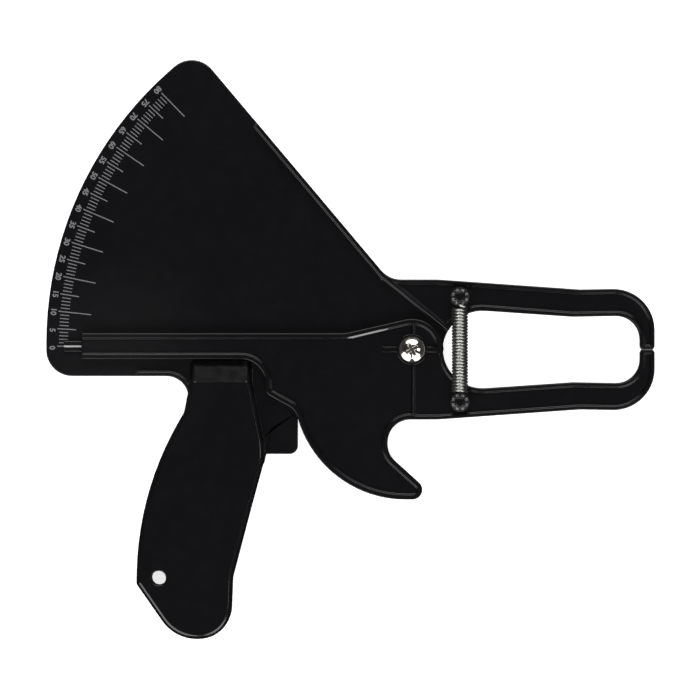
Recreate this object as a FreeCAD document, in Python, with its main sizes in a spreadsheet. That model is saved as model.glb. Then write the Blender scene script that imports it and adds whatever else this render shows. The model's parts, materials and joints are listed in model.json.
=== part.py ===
import FreeCAD, Part
import math
import os
import re

import Sketcher

# Skinfold caliper: a moulded frame (scale quadrant, grip and upper jaw) and a moulded lever
# (pointer, trigger and lower jaw) that turn on one screw and are drawn shut by a coil spring.
# It is drawn about the pivot: X runs from the scale to the jaws, Y up the page, Z out of the
# front, and Z = 0 is the back, which it lies on. All sizes are millimetres and degrees.

SIZES = {
    # Depths, from the back to the front.
    "back_rim": 5.4,
    "plate": 2.8,
    "thrust_washer": 0.8,
    "lever_web": 2.4,
    "lever_rim": 1.6,
    "grip_depth": 15.0,
    "tongue": 1.0,
    # The scale quadrant.
    "scale_radius": 159.2,
    "scale_centre_x": -1.8,
    "scale_centre_y": 3.0,
    "scale_arc_end": 131.5,
    "heel_drop": 11.7,
    "heel_corner": 11.4,
    "apex_corner": 11.6,
    "edge_normal": 40.1,
    "edge_offset": 12.1,
    "rim_width": 1.9,
    "rim_reach": 120.0,
    "rib_width": 1.6,
    "rib_height": 4.4,
    # The two jaws, which mirror each other.
    "neck_height": 30.8,
    "neck_corner": 11.4,
    "neck_run": 46.0,
    "neck_end": 11.4,
    "beam_knee": 74.0,
    "beam_height": 26.4,
    "knee_round": 20.0,
    "jaw_reach": 106.7,
    "jaw_height": 27.0,
    "jaw_corner": 18.1,
    "arm_width": 6.2,
    "window_height": 14.95,
    "window_corner": 10.4,
    "window_knee": 71.0,
    "window_knee_height": 14.4,
    "window_left": 13.5,
    "window_end_height": 18.3,
    "window_end_flat": 0.5,
    "jaw_wall": 1.8,
    "foot_width": 4.7,
    "foot_chamfer": 1.3,
    "foot_gap": 0.04,
    "step_normal": 50.9,
    "step_offset": 16.3,
    "step_meet": 152.0,
    # The stretch of frame plate under the lever, and the finger guard.
    "guard_reach": 50.2,
    "guard_top": 28.0,
    "guard_bottom": 46.0,
    "guard_corner": 3.5,
    "stop_x": 31.2,
    "stop_y": 26.0,
    # The grip.
    "crook_round": 9.8,
    "crook_end": 27.5,
    "crook_rib_x": 121.0,
    "crook_rib_width": 1.9,
    "crook_rib_height": 2.6,
    "crook_rib_turn": 40.0,
    "grip_width": 41.5,
    "back_y": 62.1,
    "back_round": 138.0,
    "back_tilt": 30.0,
    "grip_wall": 2.6,
    "grip_edge": 2.4,
    "grip_top": 14.3,
    "grip_clearance": 3.5,
    "grip_rib": 1.8,
    "ramp_tuck": 0.6,
    "ramp_set": 5.0,
    "butt_y": 127.3,
    "butt_lead": 1.0,
    "butt_slant": 15.9,
    "butt_share": 0.756,
    "butt_front_share": 0.589,
    "waist_round": 30.0,
    "ear_y": 103.0,
    "ear_tilt": 1.4,
    "ear_round": 2.5,
    "front_x": 78.7,
    "front_y": 99.0,
    "front_tilt": 15.3,
    "hang_set": 8.9,
    "hang_y": 100.4,
    "hang_hole": 3.15,
    "hang_wall": 2.2,
    # The lever.
    "pointer_end": 145.2,
    "pointer_top": 7.2,
    "pointer_bottom": 4.2,
    "pointer_rise": 12.8,
    "tongue_reach": 153.2,
    "tongue_top": 3.8,
    "tongue_bottom": 1.0,
    "lever_edge": 2.3,
    "shoulder_x": 64.3,
    "shoulder_round": 11.0,
    "notch_y": 19.3,
    "notch_round": 3.2,
    "notch_slope": 29.0,
    "hook_centre_x": 3.0,
    "hook_centre_y": 16.9,
    "hook_radius": 49.06,
    "hook_start": 196.3,
    "hook_bend": 8.0,
    "hook_tip": 4.3,
    "hook_tip_x": 11.5,
    "finger_x": 10.7,
    "finger_round": 10.0,
    "throat_share": 1.52,
    "wall_x": 0.4,
    "wall": 1.2,
    "hub_rib": 2.2,
    "hub_rib_reach": 12.6,
    "rib_drop": 0.3,
    # The pivot.
    "lever_boss": 13.5,
    "frame_boss": 13.0,
    "boss_clearance": 0.8,
    "bushing_radius": 4.0,
    "running_gap": 0.05,
    "screw_radius": 2.5,
    "screw_head": 5.7,
    "screw_head_height": 2.7,
    "screw_head_band": 0.8,
    "recess_span": 5.6,
    "recess_width": 1.25,
    "recess_depth": 1.8,
    "recess_turn": 28.0,
    "head_washer_radius": 6.2,
    "head_washer": 0.6,
    "hub_radius": 6.6,
    "thrust_radius": 12.5,
    "nut_flats": 8.0,
    "nut_body": 3.8,
    "nut_collar": 1.2,
    "nut_collar_radius": 3.7,
    "insert_radius": 3.15,
    "nut_floor": 3.0,
    "nut_pocket_gap": 0.1,
    # The spring, its posts and the push-on retainers.
    "post_x": 21.0,
    "post_y": 23.1,
    "post_radius": 2.1,
    "post_shoulder": 3.5,
    "post_end": 0.5,
    "wire": 1.2,
    "coil_radius": 3.0,
    "coil_turns": 27.0,
    "coil_pitch": 1.34,
    "spring_clearance": 0.3,
    "retainer_radius": 4.2,
    "retainer": 0.5,
    "retainer_rise": 0.7,
    "retainer_flat": 3.2,
    "retainer_slot": 0.6,
    "retainer_slot_end": 3.3,
}

# Levels, in terms of the depths above.
PLATE_TOP = "(back_rim + plate)"
LEVER_BACK = "(back_rim + plate + thrust_washer)"
FRONT = "(back_rim + plate + thrust_washer + lever_web + lever_rim)"
SPRING_AXIS = f"({FRONT} + spring_clearance + coil_radius + wire / 2)"
RETAINER_BACK = f"({SPRING_AXIS} + wire / 2 + running_gap)"
RETAINER_TOP = f"({RETAINER_BACK} + retainer + retainer_rise)"
LOOP = "(post_radius + running_gap + wire / 2)"

# How many of each repeated feature there are, and how far apart two edges on one level may lie.
BACK_RIBS = 3
GRIP_RIBS = 4
RETAINER_TEETH = 8
DOME_BANDS = 3
TOUCH = 0.01

doc = FreeCAD.newDocument("skinfold_caliper")
dims = doc.addObject("Spreadsheet::Sheet", "dims")
for row, (alias, value) in enumerate(SIZES.items(), start=1):
    dims.set(f"A{row}", alias)
    dims.set(f"B{row}", str(value))
    dims.setAlias(f"B{row}", alias)
doc.recompute()


def bound(text):
    """The expression with every size named as a cell of the sheet."""
    return re.sub(r"[a-z_]+", lambda word: f"dims.{word[0]}" if word[0] in SIZES else word[0], str(text))


def number(text):
    """What an expression is worth now, to draw a sketch near its solved shape."""
    return float(dims.evalExpression(bound(text)))


# ---- Where lines and arcs meet, as expressions ----


def crossing(normal_a, distance_a, normal_b, distance_b):
    """Where two lines meet, each given by the angle of its normal and its distance from the pivot."""
    turn = f"sin(({normal_b}) - ({normal_a}))"
    x = f"((({distance_a}) * sin({normal_b}) - ({distance_b}) * sin({normal_a})) / {turn})"
    y = f"((({distance_b}) * cos({normal_a}) - ({distance_a}) * cos({normal_b})) / {turn})"
    return x, y


def arc_corner(centre_x, centre_y, radius, start, end):
    """Where the tangents at the two ends of an arc meet: rounding that corner gives the arc back."""
    reach = f"(({radius}) / cos((({end}) - ({start})) / 2))"
    middle = f"((({start}) + ({end})) / 2)"
    return f"({centre_x} + {reach} * cos({middle}))", f"({centre_y} + {reach} * sin({middle}))"


# ---- Sketches and features ----


def attach(sketch, body, level="0", role="XY_Plane"):
    plane = next(f for f in body.Origin.OriginFeatures if f.Role == role)
    sketch.AttachmentSupport = [(plane, "")]
    sketch.MapMode = "FlatFace"
    sketch.setExpression("AttachmentOffset.Base.z", bound(level))


def new_sketch(body, name, level="0", role="XY_Plane"):
    sketch = body.newObject("Sketcher::SketchObject", name)
    attach(sketch, body, level, role)
    return sketch


def pin(sketch, geometry, end, x, y):
    """Ties one point of the sketch to a place given by two expressions."""
    for kind, text in (("DistanceX", x), ("DistanceY", y)):
        index = sketch.addConstraint(Sketcher.Constraint(kind, -1, 1, geometry, end, number(text)))
        sketch.setExpression(f"Constraints[{index}]", bound(text))


def add_outline(sketch, corners):
    """Adds a closed outline of straight sides. A corner is (x, y) or, rounded, (x, y, radius)."""
    places = [FreeCAD.Vector(number(c[0]), number(c[1]), 0) for c in corners]
    radii = [number(c[2]) if len(c) > 2 else 0.0 for c in corners]
    count = len(corners)
    arrive, leave, centres, turns = [], [], [], []
    for i in range(count):
        before = (places[i - 1] - places[i]).normalize()
        after = (places[(i + 1) % count] - places[i]).normalize()
        half = before.getAngle(after) / 2
        run = radii[i] / math.tan(half)
        arrive.append(places[i] + before * run)
        leave.append(places[i] + after * run)
        centres.append(places[i] + (before + after).normalize() * (radii[i] / math.sin(half)))
        turns.append(after.cross(before).z)
    sides = []
    for i in range(count):
        line = Part.LineSegment(leave[i], arrive[(i + 1) % count])
        sides.append(sketch.addGeometry(line, False))
    for i in range(count):
        last, side = sides[i - 1], sides[i]
        if len(corners[i]) < 3:
            sketch.addConstraint(Sketcher.Constraint("Coincident", last, 2, side, 1))
            pin(sketch, side, 1, corners[i][0], corners[i][1])
            continue
        first, second = (arrive[i], leave[i]) if turns[i] > 0 else (leave[i], arrive[i])
        start = math.atan2(first.y - centres[i].y, first.x - centres[i].x)
        end = math.atan2(second.y - centres[i].y, second.x - centres[i].x)
        circle = Part.Circle(centres[i], FreeCAD.Vector(0, 0, 1), radii[i])
        arc = sketch.addGeometry(Part.ArcOfCircle(circle, start, end), False)
        into, out = (1, 2) if turns[i] > 0 else (2, 1)
        sketch.addConstraint(Sketcher.Constraint("Tangent", last, 2, arc, into))
        sketch.addConstraint(Sketcher.Constraint("Tangent", side, 1, arc, out))
        index = sketch.addConstraint(Sketcher.Constraint("Radius", arc, radii[i]))
        sketch.setExpression(f"Constraints[{index}]", bound(corners[i][2]))
        point = sketch.addGeometry(Part.Point(places[i]), True)
        sketch.addConstraint(Sketcher.Constraint("PointOnObject", point, 1, last))
        sketch.addConstraint(Sketcher.Constraint("PointOnObject", point, 1, side))
        pin(sketch, point, 1, corners[i][0], corners[i][1])


def add_circle(sketch, x, y, radius):
    centre = FreeCAD.Vector(number(x), number(y), 0)
    circle = sketch.addGeometry(Part.Circle(centre, FreeCAD.Vector(0, 0, 1), number(radius)), False)
    index = sketch.addConstraint(Sketcher.Constraint("Radius", circle, number(radius)))
    sketch.setExpression(f"Constraints[{index}]", bound(radius))
    pin(sketch, circle, 3, x, y)


def outline(body, name, corners, level="0", role="XY_Plane"):
    sketch = new_sketch(body, name, level, role)
    add_outline(sketch, corners)
    doc.recompute()
    return sketch


def rings(body, name, x, y, radii, level="0"):
    sketch = new_sketch(body, name, level)
    for radius in radii:
        add_circle(sketch, x, y, radius)
    doc.recompute()
    return sketch


def inset(body, name, sketch, wall):
    """The face of a sketch drawn in by the width of a wall."""
    binder = body.newObject("PartDesign::SubShapeBinder", name)
    binder.Support = [(sketch, ("",))]
    binder.setExpression("Offset", f"-({bound(wall)})")
    for join in ("Arcs", "Intersection"):
        binder.OffsetJoinType = join
        doc.recompute()
        if binder.Shape.BoundBox.YLength < sketch.Shape.BoundBox.YLength - number(wall):
            return binder
    raise RuntimeError(f"{name} isn't drawn in")


def pad(body, name, profile, depth, down=False):
    feature = body.newObject("PartDesign::Pad", name)
    feature.Profile = profile if profile.isDerivedFrom("Sketcher::SketchObject") else (profile, [""])
    feature.Reversed = down
    feature.setExpression("Length", bound(depth))
    doc.recompute()
    return feature


def pocket(body, name, profile, depth, up=False):
    """Cuts down from the profile's level, or up from it, and checks that the cut removed something."""
    before = body.Shape.Volume
    feature = body.newObject("PartDesign::Pocket", name)
    feature.Profile = profile if profile.isDerivedFrom("Sketcher::SketchObject") else (profile, [""])
    feature.Reversed = up
    feature.setExpression("Length", bound(depth))
    doc.recompute()
    if not feature.Shape.Volume < before - TOUCH:
        raise RuntimeError(f"{name} cuts nothing away")
    return feature


def new_body(name):
    body = doc.addObject("PartDesign::Body", name)
    body.Label = name
    return body


def turned(body, name, corners, level="0", x="0", y="0"):
    """A solid of revolution about an upright axis; its corners are (radius, height above the level)."""
    sketch = new_sketch(body, name + "_profile", "0", "XZ_Plane")
    sketch.setExpression("AttachmentOffset.Base.x", bound(x))
    sketch.setExpression("AttachmentOffset.Base.y", bound(level))
    sketch.setExpression("AttachmentOffset.Base.z", bound(f"-({y})"))
    add_outline(sketch, corners)
    feature = body.newObject("PartDesign::Revolution", name)
    feature.Profile = sketch
    feature.ReferenceAxis = (sketch, ["V_Axis"])
    feature.Angle = 360
    doc.recompute()
    return feature


# ---- Outlines that the frame and the lever share ----

WINDOW_END = "(window_end_height - window_end_flat)"


def jaw_corners(side, footed=True):
    """One jaw from the root of its beam round the tip to the left end of the window; side is 1 or -1."""
    foot_mid = "(jaw_reach - arm_width / 2)"
    contact = "(foot_gap / 2)"
    foot = [("jaw_reach", contact), ("(jaw_reach - arm_width)", contact)]
    if footed:
        foot = [
            ("jaw_reach", f"({contact} + foot_chamfer)"),
            (f"({foot_mid} + foot_width / 2)", contact),
            (f"({foot_mid} - foot_width / 2)", contact),
            ("(jaw_reach - arm_width)", f"({contact} + foot_chamfer)"),
        ]
    beam = [
        ("neck_end", "neck_height", "knee_round"),
        ("beam_knee", "beam_height", "knee_round"),
        ("jaw_reach", "jaw_height", "jaw_corner"),
        *foot,
        ("(jaw_reach - arm_width)", "window_height", "window_corner"),
        ("window_knee", "window_knee_height", "knee_round"),
        ("window_left", "window_end_height", WINDOW_END),
    ]
    return [(c[0], f"({side} * {c[1]})", *c[2:]) for c in beam]


SCALE_LEFT = "(scale_centre_x - scale_radius)"
HEEL = "(-heel_drop)"
GRIP_BACK = "(-front_x - grip_width)"
BUTT = "(grip_width - butt_slant - butt_lead)"
HANG_X = f"({GRIP_BACK} + hang_set)"


def tangent_distance(centre_x, centre_y, radius, angle):
    """How far from the pivot the tangent of an arc at this angle runs."""
    return f"({centre_x} * cos({angle}) + {centre_y} * sin({angle}) + {radius})"


ARC_TANGENT = tangent_distance("scale_centre_x", "scale_centre_y", "scale_radius", "scale_arc_end")
APEX = crossing("scale_arc_end", ARC_TANGENT, "edge_normal", "edge_offset")
NECK = crossing("edge_normal", "edge_offset", "90", "neck_height")
STEP_TOP = crossing("edge_normal", "(edge_offset - rim_width)", "step_normal", "step_offset")
WINDOW_CENTRE = (f"(window_left + {WINDOW_END})", "window_end_flat")
WINDOW_TANGENT = tangent_distance(*WINDOW_CENTRE, WINDOW_END, "step_meet")


def edge_point(distance, offset):
    """A point up the quadrant's straight edge from the foot of its normal, drawn in by the offset."""
    out = f"(edge_offset - ({offset}))"
    return (
        f"({out} * cos(edge_normal) - ({distance}) * sin(edge_normal))",
        f"({out} * sin(edge_normal) + ({distance}) * cos(edge_normal))",
    )


def front_line_x(y):
    """The grip's straight front at the height y."""
    return f"(-front_x + (({y}) + front_y) * tan(front_tilt))"


def back_line_x(y):
    """The grip's back at the height y, on the straight line from its rounded corner up to the crook."""
    return f"({GRIP_BACK} + (({y}) + back_y) * tan(back_tilt))"


# The ramp up to the grip starts under the pointer's lower edge and ends clear of the lever's shoulder.
RAMP_LEFT = f"({back_line_x('-grip_top')} - ramp_set)"
RAMP_RIGHT = "(-sqrt(shoulder_x^2 + notch_y^2) - grip_clearance)"
RAMP_FOOT = "(ramp_tuck - pointer_bottom)"


def grip_corners():
    """The grip from the finger guard down its front, round the butt and up its back."""
    return [
        (front_line_x("-front_y"), "(-front_y)", "waist_round"),
        ("(-front_x - butt_lead)", "(-butt_y)", f"(butt_front_share * {BUTT})"),
        (f"({GRIP_BACK} + butt_slant)", "(-butt_y)", f"(butt_share * {BUTT})"),
        (f"({GRIP_BACK} - (ear_y - back_y) * tan(ear_tilt))", "(-ear_y)", "ear_round"),
        (GRIP_BACK, "(-back_y)", "back_round"),
    ]


def quadrant_corners():
    """The scale quadrant from its heel up the arc to the apex."""
    return [
        (SCALE_LEFT, HEEL, "heel_corner"),
        (*arc_corner("scale_centre_x", "scale_centre_y", "scale_radius", "180", "scale_arc_end"),
         "scale_radius"),
        (*APEX, "apex_corner"),
    ]


def underside_corners():
    """The edge that stops the lever, the finger guard, the grip and the crook."""
    return [
        ("(-stop_x)", "(-stop_y)", "guard_corner"),
        ("(-guard_reach)", "(-guard_top)"),
        ("(-guard_reach)", "(-guard_bottom)", "guard_corner"),
        (front_line_x("-guard_bottom"), "(-guard_bottom)"),
        *grip_corners(),
        (back_line_x(HEEL), HEEL, "crook_round"),
    ]


def frame_corners():
    """The whole frame seen from the front, clockwise from the heel of the quadrant."""
    return [
        *quadrant_corners(),
        (*NECK, "neck_corner"),
        *jaw_corners(1),
        ("window_left", "0"),
        ("0", "0"),
        *underside_corners(),
    ]


def tray_corners():
    """The frame without its jaw, which ends one rim past the step beside the lever."""
    past_step = "(step_offset + rim_width)"
    return [
        *quadrant_corners(),
        crossing("edge_normal", "edge_offset", "step_normal", past_step),
        crossing("step_meet", WINDOW_TANGENT, "step_normal", past_step),
        ("window_left", "0"),
        ("0", "0"),
        *underside_corners(),
    ]


def upper_jaw_corners():
    """The deep part of the frame: the neck and the upper jaw."""
    return [
        edge_point("neck_run", "0"),
        (*NECK, "neck_corner"),
        *jaw_corners(1),
        ("window_left", "0"),
        ("0", "0"),
        STEP_TOP,
    ]


def upper_recess_corners():
    """The same deep part, ending at the step beside the lever."""
    return [
        edge_point("neck_run", "0"),
        (*NECK, "neck_corner"),
        *jaw_corners(1, footed=False)[:-1],
        (*arc_corner(*WINDOW_CENTRE, WINDOW_END, "90", "step_meet"), WINDOW_END),
        crossing("step_meet", WINDOW_TANGENT, "step_normal", "step_offset"),
        STEP_TOP,
    ]


def lower_jaw_corners(footed=True):
    """The deep part of the lever: the lower jaw from the wall below the pivot."""
    return [
        ("(wall_x - wall / 2)", "0"),
        ("window_left", "0"),
        *reversed(jaw_corners("-1", footed)),
        ("(wall_x - wall / 2)", "(-neck_height)"),
    ]


def lever_corners():
    """The whole lever seen from the front, clockwise from the lower end of the pointer."""
    notch_normal = "(90 - notch_slope)"
    notch = "(-shoulder_x * cos(90 - notch_slope) - notch_y * sin(90 - notch_slope))"
    hook = tangent_distance("(-hook_centre_x)", "(-hook_centre_y)", "hook_radius", "hook_start")
    return [
        ("(-pointer_end)", "(-pointer_bottom)"),
        ("(-pointer_end)", "pointer_top"),
        (*crossing("90", "pointer_top", "(90 + pointer_rise)", "lever_boss"), "knee_round"),
        (*arc_corner("0", "0", "lever_boss", "0", "(90 + pointer_rise)"), "lever_boss"),
        *reversed(jaw_corners("-1")),
        ("(-finger_x)", "(-neck_height)", "finger_round"),
        ("(-finger_x)", "(-neck_height - throat_share * finger_round)", "finger_round"),
        ("hook_tip_x", "(-hook_centre_y - hook_radius)", "hook_tip"),
        (*arc_corner("-hook_centre_x", "-hook_centre_y", "hook_radius", "hook_start", "270"),
         "hook_radius"),
        (*crossing("hook_start", hook, notch_normal, notch), "hook_bend"),
        ("(-shoulder_x)", "(-notch_y)", "notch_round"),
        ("(-shoulder_x)", "(-pointer_bottom)", "shoulder_round"),
    ]


def spring_post(body, side, base):
    """The stepped post that carries one end of the spring, standing on the front of a jaw."""
    y = f"({side} * post_y)"
    shoulder = rings(body, "post_shoulder_outline", "post_x", y, ["post_shoulder"], base)
    pad(body, "post_shoulder_pad", shoulder, f"{SPRING_AXIS} - wire / 2 - running_gap - {base}")
    neck = rings(body, "post_neck_outline", "post_x", y, ["post_radius"], base)
    pad(body, "post_neck_pad", neck, f"{RETAINER_TOP} + post_end - {base}")


# ---- The frame ----


def make_frame():
    body = new_body("frame")
    whole = outline(body, "frame_outline", frame_corners())
    pad(body, "plate_pad", whole, PLATE_TOP)
    deep = outline(body, "upper_jaw_outline", upper_jaw_corners(), FRONT)
    pad(body, "upper_jaw_pad", deep, f"{FRONT} - {PLATE_TOP}", down=True)
    far = "(lever_boss + step_offset)"
    room = outline(
        body,
        "lever_room_outline",
        [
            crossing("step_normal", "step_offset", "(step_normal + 90)", far),
            crossing("step_normal", "step_offset", "(step_normal + 90)", f"-{far}"),
            crossing("step_normal", "(-step_offset)", "(step_normal + 90)", f"-{far}"),
            crossing("step_normal", "(-step_offset)", "(step_normal + 90)", far),
        ],
        FRONT,
    )
    pocket(body, "lever_room", room, f"{FRONT} - {PLATE_TOP}")
    tray = outline(body, "tray_outline", tray_corners())
    pocket(body, "back_recess", inset(body, "back_recess_face", tray, "rim_width"), "back_rim", up=True)
    behind = outline(body, "jaw_back_outline", upper_recess_corners())
    pocket(body, "jaw_back_recess", inset(body, "jaw_back_face", behind, "jaw_wall"), LEVER_BACK, up=True)
    before = outline(body, "jaw_front_outline", upper_recess_corners(), FRONT)
    pocket(body, "jaw_front_recess", inset(body, "jaw_front_face", before, "jaw_wall"), "lever_rim")
    add_quadrant_rims(body)
    add_grip(body)
    add_frame_boss(body)
    spring_post(body, "1", LEVER_BACK)
    return body


def add_quadrant_rims(body):
    """The front rim along the straight edge, and the ribs that stiffen the back of the quadrant."""
    rim = outline(
        body,
        "edge_rim_outline",
        [
            edge_point("rim_reach", "0"),
            edge_point("neck_run", "0"),
            STEP_TOP,
            edge_point("rim_reach", "rim_width"),
        ],
        PLATE_TOP,
    )
    pad(body, "edge_rim_pad", rim, f"{FRONT} - {PLATE_TOP}")
    ribs = new_sketch(body, "back_ribs_outline")
    for count in range(1, BACK_RIBS + 1):
        angle = f"(180 + {count / (BACK_RIBS + 1)} * (scale_arc_end - 180))"
        reach = "(scale_radius - rim_width)"
        side_x = f"(rib_width / 2 * sin({angle}))"
        side_y = f"(rib_width / 2 * cos({angle}))"
        root = "(frame_boss - rim_width)"
        root_x, root_y = f"({root} * cos({angle}))", f"({root} * sin({angle}))"
        tip_x, tip_y = f"({reach} * cos({angle}))", f"({reach} * sin({angle}))"
        add_outline(
            ribs,
            [
                (f"({root_x} + {side_x})", f"({root_y} - {side_y})"),
                (f"({tip_x} + {side_x})", f"({tip_y} - {side_y})"),
                (f"({tip_x} - {side_x})", f"({tip_y} + {side_y})"),
                (f"({root_x} - {side_x})", f"({root_y} + {side_y})"),
            ],
        )
    doc.recompute()
    lift = f"({PLATE_TOP} - plate / 2 - rib_height)"
    ribs.setExpression("AttachmentOffset.Base.z", bound(lift))
    pad(body, "back_ribs", ribs, "rib_height")


def add_grip(body):
    """The deep grip: a rounded shell, ribbed and open behind, with a ramp down to the quadrant."""
    grip = outline(
        body,
        "grip_outline",
        [
            (back_line_x("-crook_end"), "(-crook_end)", "grip_edge"),
            (RAMP_LEFT, "(-grip_top)"),
            (RAMP_RIGHT, "(-grip_top)"),
            (front_line_x("-guard_bottom"), "(-guard_bottom)", "waist_round"),
            *grip_corners(),
        ],
    )
    pad(body, "grip_pad", grip, "grip_depth")
    slope = outline(
        body,
        "ramp_outline",
        [
            ("(-grip_top - grip_edge)", "grip_depth"),
            ("(-grip_top)", "grip_depth"),
            (RAMP_FOOT, PLATE_TOP),
            (RAMP_FOOT, f"({PLATE_TOP} - plate / 2)"),
            ("(-grip_top - grip_edge)", f"({PLATE_TOP} - plate / 2)"),
        ],
        RAMP_LEFT,
        "YZ_Plane",
    )
    ramp = pad(body, "ramp", slope, f"{RAMP_RIGHT} - {RAMP_LEFT}")
    edges = []
    for index, edge in enumerate(body.Shape.Edges, start=1):
        box = edge.BoundBox
        top = abs(box.ZMax - number("grip_depth")) < TOUCH
        level = abs(box.ZMin - number("grip_depth")) < TOUCH
        flat = top and level and box.YMin < -number("grip_top") - TOUCH
        sloping = top and abs(box.ZMin - number(PLATE_TOP)) < TOUCH and box.XLength < TOUCH
        if flat or sloping:
            edges.append(f"Edge{index}")
    fillet = body.newObject("PartDesign::Fillet", "grip_edge_fillet")
    fillet.Base = (ramp, edges)
    fillet.setExpression("Radius", bound("grip_edge"))
    doc.recompute()
    add_crook_rib(body)
    hollow = inset(body, "grip_hollow_face", grip, "grip_wall")
    pocket(body, "grip_hollow", hollow, "grip_depth - grip_wall", up=True)
    ribs = new_sketch(body, "grip_ribs_outline")
    centre = "(back_round / cos((back_tilt - ear_tilt) / 2))"
    centre_x = f"({GRIP_BACK} + {centre} * cos((back_tilt + ear_tilt) / 2))"
    centre_y = f"(-{centre} * sin((back_tilt + ear_tilt) / 2) - back_y)"
    for count in range(1, GRIP_RIBS + 1):
        y = f"(-guard_bottom + {count / (GRIP_RIBS + 1)} * (guard_bottom - hang_y))"
        low, high = f"({y} - grip_rib / 2)", f"({y} + grip_rib / 2)"
        back = f"({centre_x} - sqrt((back_round - grip_wall / 2)^2 - ({y} - {centre_y})^2))"
        front = f"({front_line_x(y)} - grip_wall / 2)"
        add_outline(ribs, [(back, low), (back, high), (front, high), (front, low)])
    doc.recompute()
    pad(body, "grip_ribs", ribs, "grip_depth - grip_wall / 2")
    tube = rings(body, "hang_tube_outline", HANG_X, "(-hang_y)", ["hang_hole + hang_wall"])
    pad(body, "hang_tube", tube, "grip_depth - grip_wall / 2")
    hole = rings(body, "hang_hole_outline", HANG_X, "(-hang_y)", ["hang_hole"])
    pocket(body, "hanging_hole", hole, "grip_depth", up=True)


def add_crook_rib(body):
    """The low rib that runs along the quadrant's lower edge and round the crook of the grip."""
    centre_y = f"({HEEL} - crook_round)"
    centre_x = f"({back_line_x(centre_y)} - crook_round / cos(back_tilt))"
    inner = "(crook_round + crook_rib_width)"
    tangent = tangent_distance(centre_x, centre_y, inner, "crook_rib_turn")
    rib = outline(
        body,
        "crook_rib_outline",
        [
            ("(-crook_rib_x)", HEEL),
            ("(-crook_rib_x)", f"({HEEL} + crook_rib_width)"),
            (*arc_corner(centre_x, centre_y, inner, "90", "crook_rib_turn"), inner),
            crossing("crook_rib_turn", tangent, "90", "(-grip_top - crook_rib_width)"),
            (f"({RAMP_LEFT} + crook_rib_width)", "(-crook_end)"),
            (back_line_x("-crook_end"), "(-crook_end)"),
            (back_line_x(HEEL), HEEL, "crook_round"),
        ],
        f"({PLATE_TOP} - plate / 2)",
    )
    pad(body, "crook_rib", rib, "plate / 2 + crook_rib_height")


def add_frame_boss(body):
    """The round seat of the pivot, bored for the bushing and recessed behind for the nut."""
    boss = rings(body, "boss_outline", "0", "0", ["frame_boss"])
    pad(body, "boss_pad", boss, PLATE_TOP)
    bore = rings(body, "bore_outline", "0", "0", ["bushing_radius"])
    pocket(body, "bore", bore, PLATE_TOP, up=True)
    nut = outline(body, "nut_pocket_outline", hexagon("(nut_flats / 2 + nut_pocket_gap)"))
    pocket(body, "nut_pocket", nut, f"{PLATE_TOP} - nut_floor", up=True)


def hexagon(across, x="0", y="0"):
    """The corners of a hexagon with this distance from its centre to a flat."""
    reach = f"({across} / cos(30))"
    angles = range(0, 360, 60)
    return [(f"({x} + {reach} * cos({angle}))", f"({y} + {reach} * sin({angle}))") for angle in angles]


# ---- The lever ----


def make_lever():
    body = new_body("lever")
    whole = outline(body, "lever_outline", lever_corners(), FRONT)
    pad(body, "lever_pad", whole, "lever_web + lever_rim", down=True)
    deep = outline(body, "lower_jaw_outline", lower_jaw_corners())
    pad(body, "lower_jaw_pad", deep, LEVER_BACK)
    room = rings(body, "boss_room_outline", "0", "0", ["frame_boss + boss_clearance"])
    pocket(body, "boss_room", room, LEVER_BACK, up=True)
    behind = outline(body, "jaw_back_outline", lower_jaw_corners(footed=False))
    pocket(body, "jaw_back_recess", inset(body, "jaw_back_face", behind, "jaw_wall"), LEVER_BACK, up=True)
    pocket(body, "front_recess", inset(body, "front_recess_face", whole, "lever_edge"), "lever_rim")
    before = outline(body, "jaw_front_outline", lower_jaw_corners(footed=False), FRONT)
    pocket(body, "jaw_front_recess", inset(body, "jaw_front_face", before, "jaw_wall"), "lever_rim")
    mouth = outline(
        body,
        "pointer_mouth_outline",
        [
            ("(-pointer_end - lever_edge)", "(lever_edge - pointer_bottom)"),
            ("(-pointer_end - lever_edge)", "(pointer_top - lever_edge)"),
            ("(-pointer_end + 2 * lever_edge)", "(pointer_top - lever_edge)"),
            ("(-pointer_end + 2 * lever_edge)", "(lever_edge - pointer_bottom)"),
        ],
        FRONT,
    )
    pocket(body, "pointer_mouth", mouth, "lever_rim")
    tongue = outline(
        body,
        "index_tongue_outline",
        [
            ("(-tongue_reach)", "(-tongue_bottom)"),
            ("(-tongue_reach)", "tongue_top"),
            ("(-pointer_end + lever_edge)", "tongue_top"),
            ("(-pointer_end + lever_edge)", "(-tongue_bottom)"),
        ],
        LEVER_BACK,
    )
    pad(body, "index_tongue", tongue, "tongue")
    add_lever_ribs(body)
    bore = rings(body, "bore_outline", "0", "0", ["bushing_radius + running_gap"], FRONT)
    pocket(body, "bore", bore, f"{FRONT} - {LEVER_BACK}")
    spring_post(body, "-1", f"({FRONT} - lever_rim - lever_web / 2)")
    return body


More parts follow.
